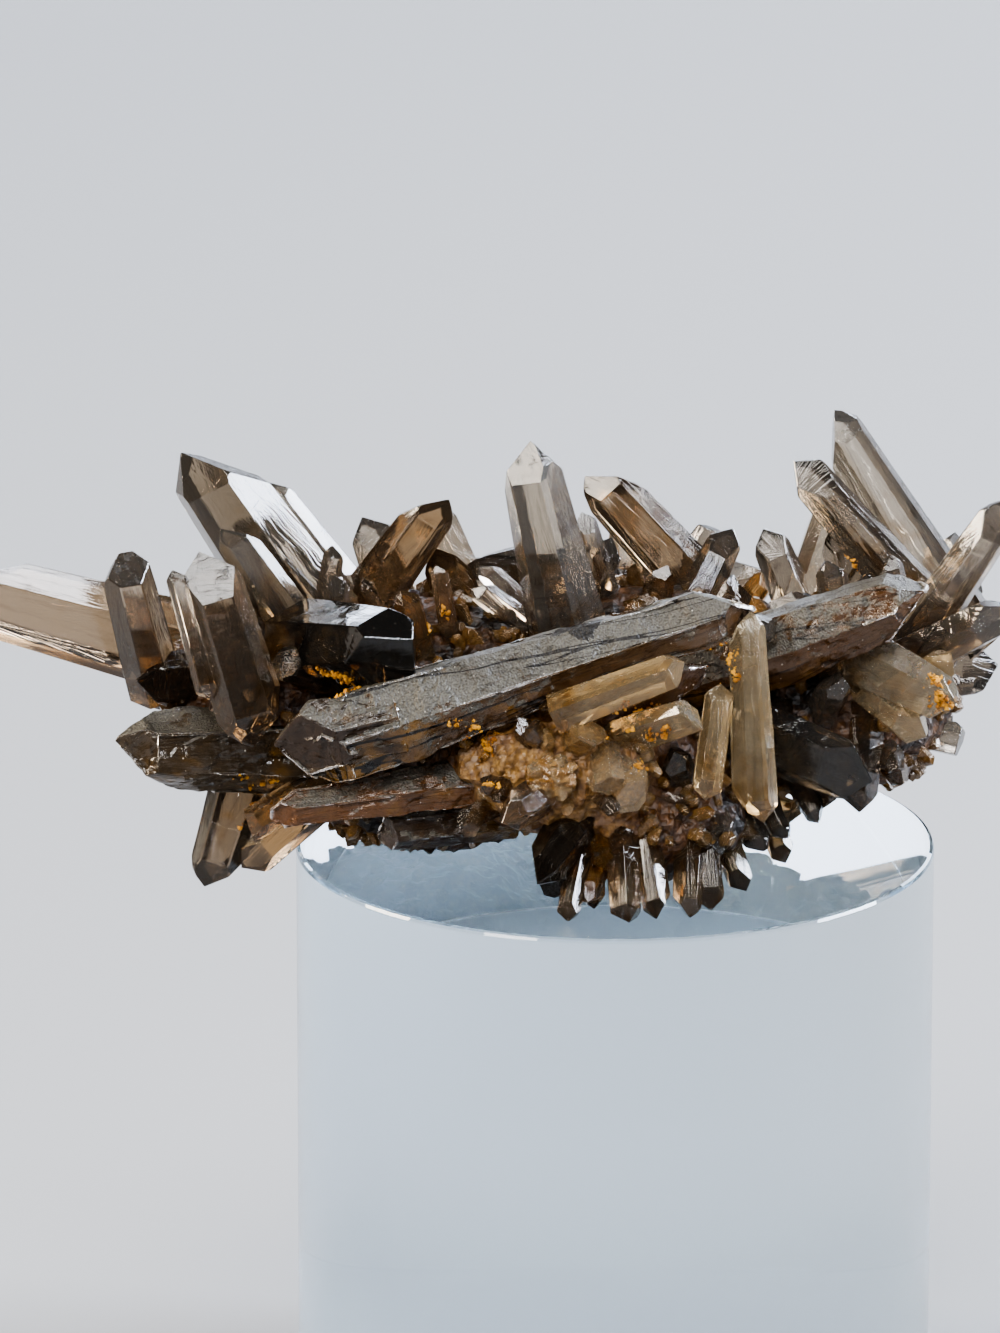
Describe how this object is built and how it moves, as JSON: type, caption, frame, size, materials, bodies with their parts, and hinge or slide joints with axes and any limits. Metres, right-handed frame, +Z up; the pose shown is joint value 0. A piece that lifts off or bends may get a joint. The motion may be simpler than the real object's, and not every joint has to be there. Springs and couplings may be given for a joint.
{
  "type": "smoky quartz cluster on a clear cylinder stand",
  "caption": "Spiky cluster of smoky quartz crystals grown together on one root mass, lying on the flat top of a clear acrylic cylinder.",
  "frame": {"origin": "centre of the acrylic cylinder's bottom face", "axes": "+Z up along the cylinder's axis, +X along the cluster's length to the right as seen from the front, +Y to the back"},
  "size_m": [0.1264, 0.0777, 0.1282],
  "materials": {
    "smoky_quartz": "glossy crystal faces, clear grey-brown, with dull frosted patches and orange iron stains in the joints",
    "clear_acrylic": "polished clear"
  },
  "bodies": {
    "root": {"quartz_cluster": "smoky_quartz", "acrylic_stand": "clear_acrylic"}
  },
  "joints": []
}
